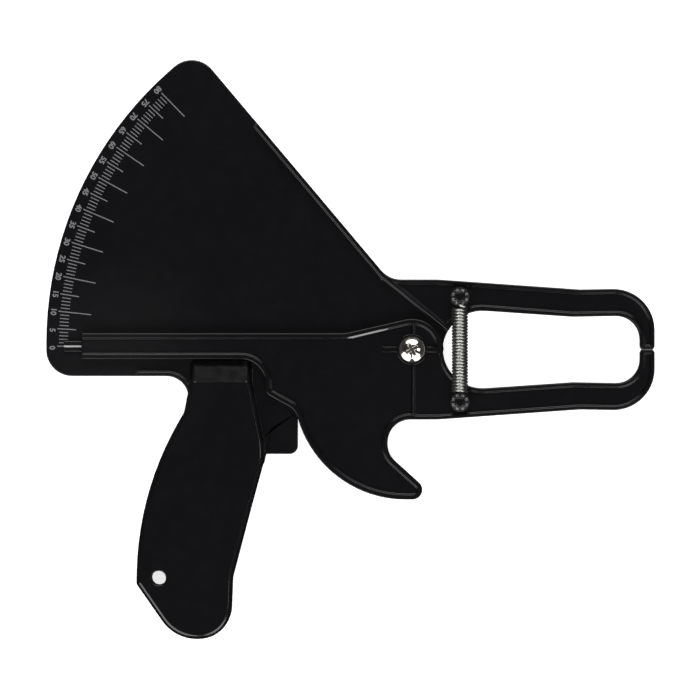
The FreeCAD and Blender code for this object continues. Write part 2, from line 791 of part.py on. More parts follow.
def add_lever_ribs(body):
    """The hub under the screw head and the four ribs that spread from it over the web."""
    web = f"({FRONT} - lever_rim - lever_web / 2)"
    hub = rings(body, "hub_outline", "0", "0", ["hub_radius"], web)
    pad(body, "hub", hub, f"{FRONT} - {web}")
    ribs = new_sketch(body, "lever_ribs_outline", web)
    left, right = "(wall_x - wall / 2)", "(wall_x + wall / 2)"
    rim = "(lever_boss - lever_edge / 2)"
    for near, far in (("bushing_radius", rim), ("(-bushing_radius)", "(-neck_height + lever_edge / 2)")):
        add_outline(ribs, [(left, near), (left, far), (right, far), (right, near)])
    low, high = "(-hub_rib / 2)", "(hub_rib / 2)"
    for near, far in (("bushing_radius", rim), ("(-bushing_radius)", "(-hub_rib_reach)")):
        add_outline(ribs, [(near, low), (near, high), (far, high), (far, low)])
    doc.recompute()
    pad(body, "lever_ribs", ribs, f"{FRONT} - {web} - rib_drop")


# ---- The pivot ----


def make_pivot():
    """The screw, its nut and the pieces it holds, one after the other along the pivot."""
    top = f"({FRONT} + running_gap)"
    floor = f"({PLATE_TOP} - nut_floor)"
    sleeve = new_body("pivot_bushing")
    inside = "screw_radius + running_gap"
    face = rings(sleeve, "sleeve_outline", "0", "0", ["bushing_radius", inside], floor)
    pad(sleeve, "sleeve_pad", face, f"{top} - {floor}")

    thrust = new_body("thrust_washer")
    around = "bushing_radius + running_gap"
    face = rings(thrust, "thrust_outline", "0", "0", ["thrust_radius", around], PLATE_TOP)
    pad(thrust, "thrust_pad", face, "thrust_washer")

    washer = new_body("head_washer")
    face = rings(washer, "washer_outline", "0", "0", ["head_washer_radius", inside], top)
    pad(washer, "washer_pad", face, "head_washer")

    seat = f"({top} + head_washer)"
    nut_back = f"({floor} - nut_body - nut_collar)"
    screw = new_body("pivot_screw")
    rise = "(screw_head_height - screw_head_band)"
    dome = f"((screw_head^2 + {rise}^2) / 2 / {rise})"
    slope = f"(2 * atan({rise} / screw_head))"
    profile = [
        ("0", f"({nut_back} - {seat})"),
        ("screw_radius", f"({nut_back} - {seat})"),
        ("screw_radius", "0"),
        ("screw_head", "0"),
    ]
    for band in range(DOME_BANDS, 0, -1):
        angle = f"({band / DOME_BANDS} * {slope})"
        profile.append((f"({dome} * sin({angle}))", f"(screw_head_height - {dome} * (1 - cos({angle})))"))
    profile.append(("0", "screw_head_height"))
    turned(screw, "screw_turned", profile, seat)
    cross = new_sketch(screw, "recess_outline", f"({seat} + screw_head_height)")
    reach, side = "(recess_span / 2)", "(recess_width / 2)"
    add_outline(
        cross,
        [
            (reach, f"(-{side})"),
            (reach, side),
            (side, side),
            (side, reach),
            (f"(-{side})", reach),
            (f"(-{side})", side),
            (f"(-{reach})", side),
            (f"(-{reach})", f"(-{side})"),
            (f"(-{side})", f"(-{side})"),
            (f"(-{side})", f"(-{reach})"),
            (side, f"(-{reach})"),
            (side, f"(-{side})"),
        ],
    )
    cross.setExpression("AttachmentOffset.Rotation.Angle", bound("recess_turn"))
    doc.recompute()
    pocket(screw, "cross_recess", cross, "recess_depth")

    nut = new_body("pivot_nut")
    face = outline(nut, "nut_outline", hexagon("(nut_flats / 2)"), floor)
    pad(nut, "nut_pad", face, "nut_body", down=True)
    collar = rings(nut, "collar_outline", "0", "0", ["nut_collar_radius"], nut_back)
    pad(nut, "collar_pad", collar, "nut_collar")
    bore = rings(nut, "nut_bore_outline", "0", "0", ["screw_radius"], floor)
    pocket(nut, "nut_bore", bore, "nut_body + nut_collar")
    groove = rings(nut, "insert_room_outline", "0", "0", ["insert_radius"], nut_back)
    pocket(nut, "insert_room", groove, "nut_collar", up=True)
    ring = new_body("nut_insert")
    face = rings(ring, "insert_outline", "0", "0", ["insert_radius", "screw_radius"], nut_back)
    pad(ring, "insert_pad", face, "nut_collar")
    return [sleeve, thrust, washer, screw, nut, ring]


# ---- The spring and its retainers ----


def make_spring():
    """The close-wound coil as one sleeve, with a loop round the post at each end."""
    body = new_body("return_spring")
    outer, inner = "(coil_radius + wire / 2)", "(coil_radius - wire / 2)"
    length = "(coil_turns * coil_pitch)"
    coil = new_sketch(body, "coil_outline", f"(-{length} / 2)", "XZ_Plane")
    for radius in (outer, inner):
        add_circle(coil, "post_x", SPRING_AXIS, radius)
    doc.recompute()
    pad(body, "coil", coil, length)
    for end in ("1", "-1"):
        cap = new_sketch(body, "cap_outline", f"(-{end} * {length} / 2)", "XZ_Plane")
        add_circle(cap, "post_x", SPRING_AXIS, "coil_radius")
        doc.recompute()
        pad(body, "cap", cap, "wire", down=end == "-1")
        leg = new_sketch(body, "leg_outline", f"(-{end} * {length} / 2)", "XZ_Plane")
        add_outline(leg, hexagon("((wire / 2 - running_gap) * cos(30))", "post_x", SPRING_AXIS))
        doc.recompute()
        reach = f"(post_y - {LOOP} - {length} / 2)"
        pad(body, "leg", leg, reach, down=end == "1")
        loop = new_sketch(body, "loop_outline", f"(-{end} * post_y)", "XZ_Plane")
        loop.setExpression("AttachmentOffset.Base.x", bound("post_x"))
        loop.setExpression("AttachmentOffset.Base.y", bound(SPRING_AXIS))
        add_outline(loop, hexagon("(wire / 2 * cos(30))", LOOP))
        feature = body.newObject("PartDesign::Revolution", "loop")
        feature.Profile = loop
        feature.ReferenceAxis = (loop, ["V_Axis"])
        feature.Angle = 360
        doc.recompute()
    return body


def make_retainer(name, side):
    """A push-on disc: a flat ring with teeth bent up against the post."""
    body = new_body(name)
    turned(
        body,
        "disc_turned",
        [
            ("post_radius", "retainer_rise"),
            ("retainer_flat", "0"),
            ("retainer_radius", "0"),
            ("retainer_radius", "retainer"),
            ("retainer_flat", "retainer"),
            ("post_radius", "(retainer_rise + retainer)"),
        ],
        RETAINER_BACK,
        "post_x",
        f"({side} * post_y)",
    )
    slots = new_sketch(body, "slots_outline", RETAINER_TOP)
    near, far, half = "(post_radius / 2)", "retainer_slot_end", "(retainer_slot / 2)"
    for count in range(RETAINER_TEETH):
        angle = 360 / RETAINER_TEETH * (count + 0.5)
        corners = []
        for out, aside in ((near, f"(-{half})"), (far, f"(-{half})"), (far, half), (near, half)):
            x = f"(post_x + {out} * cos({angle}) - {aside} * sin({angle}))"
            y = f"({side} * post_y + {out} * sin({angle}) + {aside} * cos({angle}))"
            corners.append((x, y))
        add_outline(slots, corners)
    doc.recompute()
    pocket(body, "slots", slots, "retainer_rise + retainer")
    return body


made = [make_frame(), make_lever(), *make_pivot(), make_spring()]
made += [make_retainer("upper_retainer", "1"), make_retainer("lower_retainer", "-1")]
doc.recompute()

for item in doc.Objects:
    if "Invalid" in item.State or "Error" in item.State:
        raise RuntimeError(f"{item.Name} failed: {item.State}")

box = FreeCAD.BoundBox()
for item in made:
    if item.Shape.isNull() or not item.Shape.isValid():
        raise RuntimeError(f"{item.Label} has no valid shape")
    box.add(item.Shape.optimalBoundingBox(False, False))
shift = FreeCAD.Vector(-box.Center.x, -box.Center.y, -box.ZMin)
for item in made:
    item.Placement = FreeCAD.Placement(shift, FreeCAD.Rotation())

os.makedirs("parts", exist_ok=True)
for item in made:
    item.Shape.exportStep(f"parts/{item.Label}.step")
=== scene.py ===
"""A hand-held skinfold caliper: a fan-shaped scale, a pistol grip, a pointer lever and two bowed jaws."""

import json
import math

import bmesh
import bpy
from mathutils import Matrix, Vector

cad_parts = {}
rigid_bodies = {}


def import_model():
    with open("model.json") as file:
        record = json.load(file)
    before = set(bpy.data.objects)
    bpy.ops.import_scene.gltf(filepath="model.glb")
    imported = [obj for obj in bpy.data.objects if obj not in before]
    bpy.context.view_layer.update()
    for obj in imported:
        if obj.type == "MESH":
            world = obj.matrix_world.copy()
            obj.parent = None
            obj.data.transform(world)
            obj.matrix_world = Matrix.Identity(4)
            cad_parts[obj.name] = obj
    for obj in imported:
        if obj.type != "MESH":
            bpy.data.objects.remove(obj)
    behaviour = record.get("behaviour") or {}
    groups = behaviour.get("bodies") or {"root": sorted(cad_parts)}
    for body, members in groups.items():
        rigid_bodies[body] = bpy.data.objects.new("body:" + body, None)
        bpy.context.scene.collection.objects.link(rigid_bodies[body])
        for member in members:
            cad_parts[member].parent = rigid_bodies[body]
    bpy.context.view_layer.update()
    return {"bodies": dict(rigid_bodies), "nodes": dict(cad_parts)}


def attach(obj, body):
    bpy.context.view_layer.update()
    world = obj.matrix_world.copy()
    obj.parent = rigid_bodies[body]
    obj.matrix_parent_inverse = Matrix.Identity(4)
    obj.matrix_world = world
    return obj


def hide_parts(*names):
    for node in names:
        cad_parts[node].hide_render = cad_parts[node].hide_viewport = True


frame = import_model()
nodes = frame["nodes"]
scene = bpy.context.scene
MM = 0.001

# ---- Camera: straight above the tool, which fills most of a square picture ----

CAMERA_HEIGHT = 3.0
FOCUS_HEIGHT = 0.010
PICTURE_SIDE = 0.308
VIEW_CENTRE = (-0.0001, -0.0003)
SENSOR_WIDTH = 36

camera_data = bpy.data.cameras.new("camera")
camera_data.sensor_width = SENSOR_WIDTH
camera_data.lens = SENSOR_WIDTH * (CAMERA_HEIGHT - FOCUS_HEIGHT) / PICTURE_SIDE
camera = bpy.data.objects.new("camera", camera_data)
camera.location = (*VIEW_CENTRE, CAMERA_HEIGHT)
scene.collection.objects.link(camera)
scene.camera = camera


# ---- Node helpers ----


class Nodes:
    """A node tree with short calls that add and join its nodes."""

    def __init__(self, tree):
        self.tree = tree

    def add(self, kind, **settings):
        """A new node of this kind with these settings."""
        node = self.tree.nodes.new(kind)
        for key, value in settings.items():
            setattr(node, key, value)
        return node

    def join(self, start, end):
        """A link from one socket to another."""
        self.tree.links.new(start, end)

    def ramp(self, value, stops):
        """Colours by value: stops are (position, colour) in rising order."""
        node = self.add("ShaderNodeValToRGB")
        elements = node.color_ramp.elements
        for stop in stops[1:-1]:
            elements.new(stop[0])
        for element, (position, colour) in zip(elements, stops):
            element.position = position
            element.color = (*colour, 1)
        self.join(value, node.inputs["Fac"])
        return node.outputs["Color"]

    def span(self, value, low, high, start, end):
        """Values from start to end become values from low to high, and stay there beyond."""
        node = self.add("ShaderNodeMapRange")
        for key, number in zip(("From Min", "From Max", "To Min", "To Max"), (start, end, low, high)):
            node.inputs[key].default_value = number
        self.join(value, node.inputs["Value"])
        return node.outputs["Result"]

    def math(self, operation, *values):
        """A sum or function of these numbers and sockets."""
        node = self.add("ShaderNodeMath", operation=operation)
        for socket, value in zip(node.inputs, values):
            if isinstance(value, (int, float)):
                socket.default_value = value
            else:
                self.join(value, socket)
        return node.outputs["Value"]


class Shader(Nodes):
    """One material with its Principled shader, whose sockets take these values."""

    def __init__(self, name, **values):
        self.material = bpy.data.materials.new(name)
        self.material.use_nodes = True
        super().__init__(self.material.node_tree)
        self.surface = self.tree.nodes["Principled BSDF"]
        self.place = self.add("ShaderNodeTexCoord").outputs["Object"]
        for key, value in values.items():
            self.surface.inputs[key.replace("_", " ")].default_value = value

    def finish(self, colour, roughness, normal):
        """The material, once its surface has these sockets."""
        self.join(colour, self.surface.inputs["Base Color"])
        self.join(roughness, self.surface.inputs["Roughness"])
        self.join(normal, self.surface.inputs["Normal"])
        return self.material

    def stretched(self, scale):
        """Places in the part, scaled along each axis."""
        node = self.add("ShaderNodeMapping")
        node.inputs["Scale"].default_value = scale
        self.join(self.place, node.inputs["Vector"])
        return node.outputs["Vector"]

    def noise(self, scale, detail, place=None, roughness=0.5):
        """Cloudy noise from 0 to 1."""
        node = self.add("ShaderNodeTexNoise")
        node.inputs["Scale"].default_value = scale
        node.inputs["Detail"].default_value = detail
        node.inputs["Roughness"].default_value = roughness
        self.join(place or self.place, node.inputs["Vector"])
        return node.outputs["Fac"]

    def mix(self, share, first, second):
        """The first colour where the share is 0 and the second where it is 1."""
        node = self.add("ShaderNodeMix", data_type="RGBA")
        for key, value in (("Factor_Float", share), ("A_Color", first), ("B_Color", second)):
            self.join(value, next(i for i in node.inputs if i.identifier == key))
        return next(o for o in node.outputs if o.identifier == "Result_Color")

    def flat_offset(self, centre):
        """How far a place lies from this centre, along X and along Y."""
        shift = self.add("ShaderNodeVectorMath", operation="SUBTRACT")
        shift.inputs[1].default_value = (*centre[:2], 0)
        self.join(self.place, shift.inputs[0])
        parts = self.add("ShaderNodeSeparateXYZ")
        self.join(shift.outputs["Vector"], parts.inputs["Vector"])
        return parts.outputs["X"], parts.outputs["Y"]

    def length(self, x, y):
        """The distance that these two offsets make."""
        squares = self.math("MULTIPLY", x, x), self.math("MULTIPLY", y, y)
        return self.math("SQRT", self.math("ADD", *squares))

    def bump(self, height, depth, strength, under=None):
        """Relief from this height, on top of the relief under it."""
        node = self.add("ShaderNodeBump")
        node.inputs["Strength"].default_value = strength
        node.inputs["Distance"].default_value = depth
        self.join(height, node.inputs["Height"])
        if under:
            self.join(under, node.inputs["Normal"])
        return node.outputs["Normal"]


# ---- Places on the tool ----

PIVOT = Vector((0.02715, -0.0001, 0))
# The centre of the painted grey reflection on the black moulding.
SHEEN_CENTRE = Vector((-0.104, -0.004, 0))
UPPER_POST = Vector((0.04815, 0.0230, 0.0169))
LOWER_POST = Vector((0.04815, -0.0232, 0.0169))

# ---- Materials ----

# How far from that centre the painted reflection is at full strength, and where it has faded out.
SHEEN_FULL = 10 * MM
SHEEN_END = 50 * MM
RIPPLE_DEPTH = 0.04 * MM
GRAIN_DEPTH = 0.02 * MM
FINE_DEPTH = 0.01 * MM
SCRATCH_STRETCH = (1.0, 0.06, 1.0)
# Where the painted highlights sit on each retainer: the number of teeth, the ring's radius, and how far from
# the ring they are full and where they end.
RETAINER_TEETH = 8
KNEE_RADIUS = 2.95 * MM
KNEE_FULL = 0.25 * MM
KNEE_END = 0.75 * MM


def moulding(name, gloss=0.5):
    """Polished black styrene: a mould's ripple, fine scratches, and a painted grey reflection that fades out
    from one spot near the grip's heel.
    """
    shader = Shader(name, IOR=1.53, Specular_IOR_Level=gloss)
    drift = shader.noise(scale=22, detail=3)
    black = shader.ramp(drift, [(0.3, (0.0026, 0.0026, 0.0031)), (0.7, (0.0032, 0.0032, 0.0037))])
    # Painted reflection: a lighter grey base colour near the heel stands in for the studio's light reflected
    # there.
    painted_sheen = shader.ramp(drift, [(0.3, (0.0064, 0.0064, 0.0069)), (0.7, (0.0076, 0.0076, 0.0082))])
    from_sheen_centre = shader.length(*shader.flat_offset(SHEEN_CENTRE))
    sheen_share = shader.span(from_sheen_centre, low=1.0, high=0.0, start=SHEEN_FULL, end=SHEEN_END)
    polish = shader.noise(scale=160, detail=5, roughness=0.65)
    ripple = shader.bump(shader.noise(scale=240, detail=2), RIPPLE_DEPTH, strength=0.25)
    scratch = shader.noise(scale=900, detail=2, place=shader.stretched(SCRATCH_STRETCH))
    return shader.finish(
        shader.mix(sheen_share, black, painted_sheen),
        shader.span(polish, low=0.14, high=0.22, start=0.3, end=0.75),
        shader.bump(scratch, FINE_DEPTH, strength=0.15, under=ripple),
    )


def nickel():
    """Bright nickel plate with light stains and a fine grain."""
    shader = Shader("nickel_plate", Metallic=1.0)
    stain = shader.noise(scale=420, detail=4)
    return shader.finish(
        shader.ramp(stain, [(0.3, (0.62, 0.57, 0.48)), (0.65, (0.80, 0.77, 0.70))]),
        shader.span(stain, low=0.06, high=0.16, start=0.3, end=0.7),
        shader.bump(shader.noise(scale=1500, detail=2), FINE_DEPTH, strength=0.12),
    )


def wire_steel():
    """Drawn and plated spring wire, slightly dulled."""
    shader = Shader("spring_steel", Metallic=1.0)
    stain = shader.noise(scale=700, detail=4)
    return shader.finish(
        shader.ramp(stain, [(0.25, (0.34, 0.34, 0.31)), (0.7, (0.46, 0.46, 0.43))]),
        shader.span(stain, low=0.24, high=0.36, start=0.3, end=0.7),
        shader.bump(shader.noise(scale=5000, detail=2), FINE_DEPTH, strength=0.2),
    )


def zinc():
    """Zinc plated steel with cloudy, slightly yellow patches."""
    shader = Shader("zinc_plate", Metallic=1.0)
    cloud = shader.noise(scale=600, detail=5)
    return shader.finish(
        shader.ramp(cloud, [(0.3, (0.55, 0.54, 0.49)), (0.7, (0.70, 0.70, 0.68))]),
        shader.span(cloud, low=0.25, high=0.42, start=0.3, end=0.7),
        shader.bump(shader.noise(scale=2600, detail=2), FINE_DEPTH, strength=0.3),
    )


def black_oxide(name, centre):
    """Spring steel blackened in oil, with a painted highlight on the knee of each of its eight teeth."""
    shader = Shader(name, Metallic=0.4)
    mottle = shader.noise(scale=900, detail=4)
    black = shader.ramp(mottle, [(0.35, (0.010, 0.010, 0.011)), (0.75, (0.035, 0.035, 0.035))])
    # Painted highlight: a light grey base colour on the knee of each tooth stands in for the lamps' glint
    # there.
    painted_glint = shader.ramp(mottle, [(0.3, (0.35, 0.35, 0.35)), (0.7, (0.62, 0.62, 0.61))])
    x, y = shader.flat_offset(centre)
    from_ring = shader.math("ABSOLUTE", shader.math("SUBTRACT", shader.length(x, y), KNEE_RADIUS))
    on_ring = shader.span(from_ring, low=1.0, high=0.0, start=KNEE_FULL, end=KNEE_END)
    teeth = shader.math("COSINE", shader.math("MULTIPLY", shader.math("ARCTAN2", y, x), RETAINER_TEETH))
    on_tooth = shader.span(teeth, low=1.0, high=0.0, start=-0.7, end=0.1)
    return shader.finish(
        shader.mix(shader.math("MULTIPLY", on_ring, on_tooth), black, painted_glint),
        shader.span(mottle, low=0.22, high=0.40, start=0.3, end=0.7),
        shader.bump(shader.noise(scale=3000, detail=2), FINE_DEPTH, strength=0.3),
    )


def nylon(name, dark, light, gloss=0.5):
    """Moulded nylon or acetal with a satin skin."""
    shader = Shader(name, IOR=1.5, Specular_IOR_Level=gloss)
    cloud = shader.noise(scale=300, detail=4)
    return shader.finish(
        shader.ramp(cloud, [(0.3, dark), (0.7, light)]),
        shader.span(cloud, low=0.35, high=0.55, start=0.3, end=0.7),
        shader.bump(shader.noise(scale=1800, detail=3), GRAIN_DEPTH, strength=0.35),
    )


def ink(name, thin, full):
    """White ink pressed on black plastic, thinner and greyer in specks."""
    shader = Shader(name, IOR=1.45)
    speck = shader.noise(scale=2600, detail=4, roughness=0.7)
    return shader.finish(
        shader.ramp(speck, [(0.32, thin), (0.52, full)]),
        shader.span(speck, low=0.55, high=0.40, start=0.3, end=0.7),
        shader.bump(speck, FINE_DEPTH, strength=0.3),
    )


BLACK = moulding("black_moulding")
BLACK_NYLON = nylon("black_nylon", (0.002, 0.002, 0.002), (0.004, 0.004, 0.004), gloss=0.12)
FINISHES = {
    "frame": BLACK,
    "lever": BLACK,
    "pivot_bushing": nylon("acetal", (0.60, 0.59, 0.54), (0.72, 0.71, 0.67)),
    "thrust_washer": BLACK_NYLON,
    "head_washer": BLACK_NYLON,
    "pivot_screw": nickel(),
    "pivot_nut": zinc(),
    "nut_insert": nylon("white_nylon", (0.62, 0.63, 0.66), (0.75, 0.76, 0.78)),
    "upper_retainer": black_oxide("upper_black_oxide", UPPER_POST),
    "lower_retainer": black_oxide("lower_black_oxide", LOWER_POST),
}

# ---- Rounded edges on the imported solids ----

EDGE_ROUND = {
    "frame": 0.45 * MM,
    "lever": 0.45 * MM,
    "head_washer": 0.12 * MM,
    "thrust_washer": 0.1 * MM,
    "pivot_nut": 0.15 * MM,
    "pivot_screw": 0.12 * MM,
    "upper_retainer": 0.1 * MM,
    "lower_retainer": 0.1 * MM,
}
ROUND_STEPS = 3
SHARP_TURN = math.radians(30)
MERGED_FLATS = ("frame", "lever")
FLAT_TURN = math.radians(0.05)
SAME_POINT = 0.002 * MM

# Where sharp edges take only a part of their rounding: the place, its reach, and the part taken there.
SOFT_SPOTS = {
    "frame": [
        ((0.0405, 0.0060, 0.0080), 0.0090, 0.3),  # two arcs run together at the window's end
        ((0.02715, -0.0001, 0.0052), 0.0080, 0.0),  # the screw's hole
        ((-0.0441, -0.0784, 0.0150), 0.0220, 0.5),  # the front edge of the grip
    ],
    "lever": [
        ((0.04065, 0.0002, 0.0110), 0.0045, 0.0),  # two arcs run together at the window's end
        ((0.02715, -0.0001, 0.0127), 0.0092, 0.2),  # the ring round the hub
        ((0.0183, -0.0001, 0.0127), 0.0028, 0.4),  # the rib on the hub's left
        ((0.0360, -0.0001, 0.0127), 0.0028, 0.4),  # the rib on the hub's right
    ],
}
SPOT_CORE = 0.7


def edge_shares(name, spots):
    """Nodes that give each sharp edge its part of the rounding, and the other edges none."""
    group = bpy.data.node_groups.new(name, "GeometryNodeTree")
    for side in ("INPUT", "OUTPUT"):
        group.interface.new_socket("Geometry", in_out=side, socket_type="NodeSocketGeometry")
    steps = Nodes(group)
    place = steps.add("GeometryNodeInputPosition").outputs["Position"]
    turn = steps.add("GeometryNodeInputMeshEdgeAngle").outputs["Unsigned Angle"]
    share = steps.math("GREATER_THAN", turn, SHARP_TURN)
    for centre, reach, least in spots:
        gap = steps.add("ShaderNodeVectorMath", operation="DISTANCE")
        gap.inputs[1].default_value = centre
        steps.join(place, gap.inputs[0])
        part = steps.span(gap.outputs["Value"], low=least, high=1.0, start=reach * SPOT_CORE, end=reach)
        share = steps.math("MULTIPLY", share, part)
    store = steps.add("GeometryNodeStoreNamedAttribute", data_type="FLOAT", domain="EDGE")
    store.inputs["Name"].default_value = "bevel_weight_edge"
    steps.join(share, store.inputs["Value"])
    steps.join(steps.add("NodeGroupInput").outputs["Geometry"], store.inputs["Geometry"])
    steps.join(store.outputs["Geometry"], steps.add("NodeGroupOutput").inputs["Geometry"])
    return group


for name, material in FINISHES.items():
    node = nodes[name]
    node.data.materials.clear()
    node.data.materials.append(material)
    node.data.polygons.foreach_set("use_smooth", [True] * len(node.data.polygons))
    weld = node.modifiers.new("weld", "WELD")
    weld.merge_threshold = SAME_POINT
    if name in MERGED_FLATS:
        flat = node.modifiers.new("flat faces", "DECIMATE")
        flat.decimate_type = "DISSOLVE"
        flat.angle_limit = FLAT_TURN
    if name in EDGE_ROUND:
        shares = node.modifiers.new("edge shares", "NODES")
        shares.node_group = edge_shares(name + "_edge_shares", SOFT_SPOTS.get(name, []))
        edge = node.modifiers.new("rounded edges", "BEVEL")
        edge.width = EDGE_ROUND[name]
        edge.segments = ROUND_STEPS
        edge.limit_method = "WEIGHT"
        edge.use_clamp_overlap = False
        edge.loop_slide = False
    even = node.modifiers.new("even shading", "WEIGHTED_NORMAL")
    even.keep_sharp = True


# ---- Mesh helpers ----


def piece(name, mesh, material, body):
    """An object made of this mesh that rides on a body."""
    obj = bpy.data.objects.new(name, mesh)
    scene.collection.objects.link(obj)
    mesh.materials.clear()
    mesh.materials.append(material)
    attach(obj, body)


def mesh_from_curve(curve):
    """The mesh that this curve or text makes."""
    carrier = bpy.data.objects.new(curve.name, curve)
    scene.collection.objects.link(carrier)
    mesh = bpy.data.meshes.new_from_object(carrier)
    bpy.data.objects.remove(carrier)
    return mesh


def mesh_from(work, name):
    """The mesh of this work, with its faces turned outwards."""
    bmesh.ops.recalc_face_normals(work, faces=work.faces)
    mesh = bpy.data.meshes.new(name)
    work.to_mesh(mesh)
    work.free()
    return mesh


def add_tube(work, sections):
    """A closed solid through these sections, each a ring of four points."""
    rings = [[work.verts.new(point) for point in section] for section in sections]
    for first, second in zip(rings, rings[1:]):
        for k in range(4):
            j = (k + 1) % 4
            work.faces.new([first[k], first[j], second[j], second[k]])
    work.faces.new(rings[0][::-1])
    work.faces.new(rings[-1])


def add_bar(work, start, end, width, low, high):
    """A thin flat bar from start to end."""
    side = (end - start).cross(Vector((0, 0, 1))).normalized() * width / 2
    corners = [start - side, start + side, end + side, end - side]
    add_tube(work, [[(corner.x, corner.y, level) for corner in corners] for level in (low, high)])


# ---- Printed scale ----

PLATE_TOP = 8.2 * MM
TONGUE_TOP = 10.0 * MM
INK = 0.04 * MM
EDGE_CENTRE = Vector((0.025346, 0.002936, 0))
EDGE_RADIUS = 159.24 * MM
FIRST_ANGLE = math.radians(0.55)
ANGLE_STEP = math.radians(0.5644)
LAST_MARK = 80

# For each kind of mark: how far inside the plate's edge it starts, its length and its width.
SHORT_MARK = (5.7 * MM, 4.0 * MM, 0.38 * MM)
FIFTH_MARK = (4.8 * MM, 8.3 * MM, 0.42 * MM)
TENTH_MARK = (4.8 * MM, 14.5 * MM, 0.42 * MM)

NUMBER_INSIDE = 2.6 * MM
NUMBER_HEIGHT = 3.4 * MM
NUMBER_BOLDNESS = 0.10 * MM
NUMBER_SPACING = 0.95
NUMBER_STEPS = 3
ONE_DIGIT_LAG = math.radians(0.27)
TWO_DIGIT_LAG = math.radians(0.12)

INDEX_START = Vector((-0.1260, 0.00131, 0))
INDEX_END = Vector((-0.1178, 0.00131, 0))
INDEX_WIDTH = 0.75 * MM


def from_edge(angle, inside):
    """The point on the pivot's ray at this angle that lies this far inside the plate's rounded edge."""
    ray = Vector((-math.cos(angle), math.sin(angle), 0))
    offset = PIVOT - EDGE_CENTRE
    reach = EDGE_RADIUS - inside
    along = offset.dot(ray)
    distance = -along + math.sqrt(along**2 - offset.length_squared + reach**2)
    return PIVOT + ray * distance


def scale_ticks():
    """One mark for each millimetre of jaw opening, longer at every fifth and longest at every tenth."""
    work = bmesh.new()
    for mark in range(LAST_MARK + 1):
        kind = SHORT_MARK
        if mark % 5 == 0:
            kind = FIFTH_MARK
        if mark % 10 == 0:
            kind = TENTH_MARK
        inside, length, width = kind
        start = from_edge(FIRST_ANGLE + ANGLE_STEP * mark, inside)
        end = start + (PIVOT - start).normalized() * length
        add_bar(work, start, end, width, PLATE_TOP, PLATE_TOP + INK)
    return mesh_from(work, "scale_ticks")


def number_mesh(mark):
    """The mark's number as a thin flat mesh about the origin."""
    text = bpy.data.curves.new("number", "FONT")
    text.body = str(mark)
    text.align_x = "CENTER"
    text.align_y = "CENTER"
    text.size = NUMBER_HEIGHT
    text.offset = NUMBER_BOLDNESS
    text.extrude = INK / 2
    text.resolution_u = NUMBER_STEPS
    text.space_character = NUMBER_SPACING
    return mesh_from_curve(text)


def scale_numbers():
    """A number at every fifth mark, its top towards the pivot."""
    work = bmesh.new()
    for mark in range(0, LAST_MARK + 1, 5):
        angle = FIRST_ANGLE + ANGLE_STEP * mark - (ONE_DIGIT_LAG if mark < 10 else TWO_DIGIT_LAG)
        spot = from_edge(angle, NUMBER_INSIDE)
        up = Vector((math.cos(angle), -math.sin(angle), 0))
        along = Vector((-math.sin(angle), -math.cos(angle), 0))
        turn = Matrix((along, up, (0, 0, 1))).transposed().to_4x4()
        mesh = number_mesh(mark)
        mesh.transform(Matrix.Translation((spot.x, spot.y, PLATE_TOP + INK / 2)) @ turn)
        work.from_mesh(mesh)
        bpy.data.meshes.remove(mesh)
    mesh = bpy.data.meshes.new("scale_numbers")
    work.to_mesh(mesh)
    work.free()
    return mesh


def index_line():
    """The bold white line on the tip of the pointer."""
    work = bmesh.new()
    add_bar(work, INDEX_START, INDEX_END, INDEX_WIDTH, TONGUE_TOP, TONGUE_TOP + INK)
    return mesh_from(work, "index_line")


PRINT = ink("grey_ink", (0.10, 0.10, 0.11), (0.20, 0.20, 0.21))
piece("scale_ticks", scale_ticks(), PRINT, "frame")
piece("scale_numbers", scale_numbers(), PRINT, "frame")
piece("index_line", index_line(), ink("white_ink", (0.26, 0.26, 0.26), (0.44, 0.44, 0.44)), "lever")

# ---- Ledge in the pointer's channel ----

LEDGE_START = Vector((-0.0010, 0.0048, 0))
LEDGE_END = Vector((0.0172, 0.0092, 0))
LEDGE_WIDTH = 0.76 * MM
LEDGE_TOP = 13.0 * MM
LEDGE_DROP = 0.36 * MM
WEB_TOP = 11.4 * MM

# Share of the ledge's length, and the share of its width that is there.
LEDGE_ROWS = ((0.0, 0.3), (0.1, 1.0), (0.92, 1.0), (1.0, 0.3))


def channel_ledge():
    """A sloping ledge on the channel's upper wall, beside the pointer's hub, tapered at both ends."""
    along = LEDGE_END - LEDGE_START
    inward = Vector((along.y, -along.x, 0)).normalized()
    sections = []
    for share, fill in LEDGE_ROWS:
        wall = LEDGE_START + along * share - inward * LEDGE_WIDTH / 2
        edge = wall + inward * LEDGE_WIDTH * fill
        low = LEDGE_TOP - LEDGE_DROP * fill
        corners = ((wall, WEB_TOP), (edge, WEB_TOP), (edge, low), (wall, LEDGE_TOP))
        sections.append([(spot.x, spot.y, level) for spot, level in corners])
    work = bmesh.new()
    add_tube(work, sections)
    return mesh_from(work, "channel_ledge")


piece("channel_ledge", channel_ledge(), moulding("polished_black_moulding", gloss=1.0), "lever")

# ---- Return spring ----

WIRE = 1.3 * MM
COIL_RADIUS = 2.95 * MM
COIL_TURNS = 27
COIL_PITCH = 1.36 * MM
COIL_STEPS = 20
LOOP_RADIUS = 2.75 * MM
LOOP_SWEEP = 330
LOOP_STEPS = 30
UPPER_LOOP_FROM = 20
LOWER_LOOP_FROM = 190
LEG_STEPS = 12
WIRE_SIDES = 3
POST_GAP = (UPPER_POST - LOWER_POST).length


def round_axis(radius, turn, y):
    """The point at this turn and radius round the spring's axis."""
    return (radius * math.cos(turn), y, radius * math.sin(turn))


def post_loop(first, y):
    """The loop that lies flat round the post at y, from this turn on."""
    turns = [math.radians(first + LOOP_SWEEP * k / LOOP_STEPS) for k in range(LOOP_STEPS + 1)]
    return [(LOOP_RADIUS * math.sin(turn), y + LOOP_RADIUS * math.cos(turn), 0) for turn in turns]


